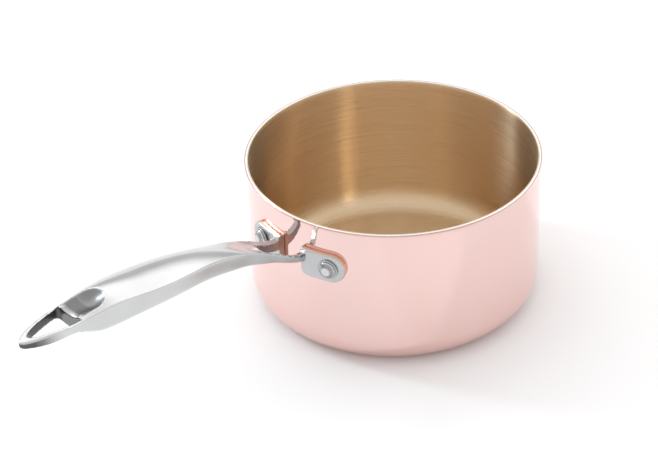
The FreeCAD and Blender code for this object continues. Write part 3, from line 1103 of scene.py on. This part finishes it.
def lug_ring(side, pull, level):
    """The plate's outline at one distance from the pan's axis."""
    shares = [step / STRAIGHT_STEPS for step in range(STRAIGHT_STEPS + 1)]
    stations = [mix(LUG_INNER_END, LUG_ROUND_CENTRE, share) for share in shares]
    for step in range(1, ROUND_STEPS + 1):
        turn = math.radians(90 * step / ROUND_STEPS)
        stations.append(LUG_ROUND_CENTRE + (LUG_HALF - pull) * math.sin(turn))
    upper = [(across, lug_height(across, pull, False)) for across in stations[:-1]]
    lower = [(across, -lug_height(across, pull, True)) for across in stations]
    outline = upper + lower[::-1]
    return [at_rivet(side, math.sqrt(level ** 2 - a ** 2), side * a, high) for a, high in outline]


def lug_rings(side):
    rings = [lug_ring(side, 0, LUG_ROOT), lug_ring(side, 0, LUG_FACE - LUG_EASE)]
    for step in range(1, LUG_EASE_STEPS + 1):
        turn = math.radians(90 * step / LUG_EASE_STEPS)
        pull = LUG_EASE * (1 - math.cos(turn))
        rings.append(lug_ring(side, pull, LUG_FACE - LUG_EASE * (1 - math.sin(turn))))
    return rings


for side in (1, -1):
    carve(handle, lug_rings(side), "UNION")
print(describe(handle))

# %% [markdown]
# Where the lugs meet the pan, one round cut as wide as the wall seats them both.
# Each lug then gets a flat seat for its washer and a bore for its rivet.

# %% Seat and bore the lugs
SEAT_RADIUS = 5.8
BORE_RADIUS = 2.6
WALL_Z = (30.0, 130.0)
SEAT_SPAN = (WASHER_SEAT, 90.0)
BORE_SPAN = (70.0, 90.0)


def radial_block(side, radius, span):
    """A round block along one rivet's line."""
    turns = turns_round(64)
    return [[at_rivet(side, out, radius * math.cos(t), radius * math.sin(t)) for t in turns] for out in span]


wall_turns = turns_round(192)
carve(handle, [[(PAN_RADIUS * math.cos(t), PAN_RADIUS * math.sin(t), z) for t in wall_turns] for z in WALL_Z])
for side in (1, -1):
    carve(handle, radial_block(side, SEAT_RADIUS, SEAT_SPAN))
    carve(handle, radial_block(side, BORE_RADIUS, BORE_SPAN))
print(describe(handle))

# %% [markdown]
# ### Soft cast edges
# A real casting has no knife edges: the sand, the grinding and the polishing
# round them all. Rebuilding the surface on a fine even grid and easing it a few
# times gives every edge the same small round, which a bevel can't do where so
# many curved faces meet. It also closes the few edges that joining the lugs
# leaves open, as the counts printed before and after it show.

# %% Soften the casting
GRID = 0.42
EASING_ROUNDS = 18
SOFTENING = (
    ("REMESH", {"mode": "VOXEL", "voxel_size": GRID * MM, "adaptivity": 0.0, "use_smooth_shade": True}),
    ("SMOOTH", {"factor": 0.5, "iterations": EASING_ROUNDS}),
)
for kind, settings in SOFTENING:
    modifier = handle.modifiers.new(kind.lower(), kind)
    for name, value in settings.items():
        setattr(modifier, name, value)
settle(handle)
handle.data.shade_smooth()
handle.data.materials.clear()
handle.data.materials.append(cast_steel)
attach(handle, "root")
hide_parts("handle")
print(describe(handle))

# %% [markdown]
# ## Floor and studio light
# Polished metal shows the room more than itself, so the light is a room: a pale
# floor that reaches far past the view, and an even bright sky over it.

# %% Floor
FLOOR_RADIUS = 6.0
FLOOR_GREY = (0.86, 0.86, 0.86, 1)


def make_floor():
    work = bmesh.new()
    bmesh.ops.create_circle(work, cap_ends=True, radius=FLOOR_RADIUS, segments=64)
    mesh = bpy.data.meshes.new("floor")
    work.to_mesh(mesh)
    work.free()
    floor = add_piece("floor", mesh)
    material = bpy.data.materials.new("pale_floor")
    material.use_nodes = True
    shader = material.node_tree.nodes["Principled BSDF"]
    shader.inputs["Base Color"].default_value = FLOOR_GREY
    shader.inputs["Roughness"].default_value = 0.9
    shader.inputs["Specular IOR Level"].default_value = 0.1
    mesh.materials.append(material)
    return floor


floor = make_floor()
print("floor", floor.name, "radius", FLOOR_RADIUS, "m")

# %% [markdown]
# ### Sky and lamps
# On the handle's side the sky is plain white. Behind the pan it is banded: a glow
# on the horizon, greyer low down, and a bright softbox higher up, which give the
# mirror wall and the steel their darker zones. One broad lamp, hidden from
# mirrors, drops a soft shadow, and a tall strip draws the upright streaks inside.

# %% Sky and lamps
HORIZON_GLOW = 0.6
LOW_SKY = 0.74
SOFTBOX = 1.65
TOP_SKY = 1.15
GLOW_FADES = (0.03, 0.13)
SOFTBOX_STARTS = (0.30, 0.48)
SOFTBOX_ENDS = (0.80, 0.92)
BEHIND = (0.8, 0.5)
BEHIND_STARTS = (0.0, 0.35)
SKY_STRENGTH = 0.98
PAN_MIDDLE = (0, 0, 0.05)
WHITE = (1.00, 1.00, 1.00)
COOL = (0.80, 0.92, 1.00)


def make_sky():
    """Even light, with a greyer band and a wide bright softbox behind the pan."""
    world = bpy.data.worlds.new("studio")
    bpy.context.scene.world = world
    world.use_nodes = True
    tree = Tree(world.node_tree)
    x, y, z = tree.parts(tree.add("ShaderNodeTexCoord"))
    glow = tree.between(z, *GLOW_FADES, HORIZON_GLOW, 0.0)
    softbox = tree.between(z, *SOFTBOX_STARTS) * (SOFTBOX - LOW_SKY)
    above = tree.between(z, *SOFTBOX_ENDS) * (SOFTBOX - TOP_SKY)
    banded = LOW_SKY + glow + softbox - above
    behind = tree.between(x * BEHIND[0] + y * BEHIND[1], *BEHIND_STARTS)
    shade = 1.0 - behind + banded * behind
    back = world.node_tree.nodes["Background"]
    grey = tree.add("ShaderNodeCombineColor", {}, {0: shade, 1: shade, 2: shade})
    tree.feed(back.inputs["Color"], grey)
    back.inputs["Strength"].default_value = SKY_STRENGTH


def add_lamp(name, azimuth, elevation, distance, size, power, colour=WHITE, mirrored=True):
    """A square or oblong lamp that looks at the pan from a direction in degrees."""
    turn, lift = math.radians(azimuth), math.radians(elevation)
    level = distance * math.cos(lift)
    place = Vector((level * math.cos(turn), level * math.sin(turn), distance * math.sin(lift)))
    data = bpy.data.lights.new(name, "AREA")
    data.shape = "RECTANGLE"
    data.size, data.size_y = size
    data.energy = power
    data.color = colour
    lamp = bpy.data.objects.new(name, data)
    lamp.location = place
    lamp.rotation_euler = (Vector(PAN_MIDDLE) - place).to_track_quat("-Z", "Y").to_euler()
    lamp.visible_glossy = mirrored
    bpy.context.scene.collection.objects.link(lamp)
    return lamp


make_sky()
key = add_lamp("key", 100, 75, 1.8, (1.6, 1.6), 4.0, mirrored=False)
strip = add_lamp("strip", 112, 30, 1.5, (0.16, 0.7), 7.0, COOL)
bpy.context.scene.view_settings.view_transform = "Standard"
print("lamps", key.name, strip.name)
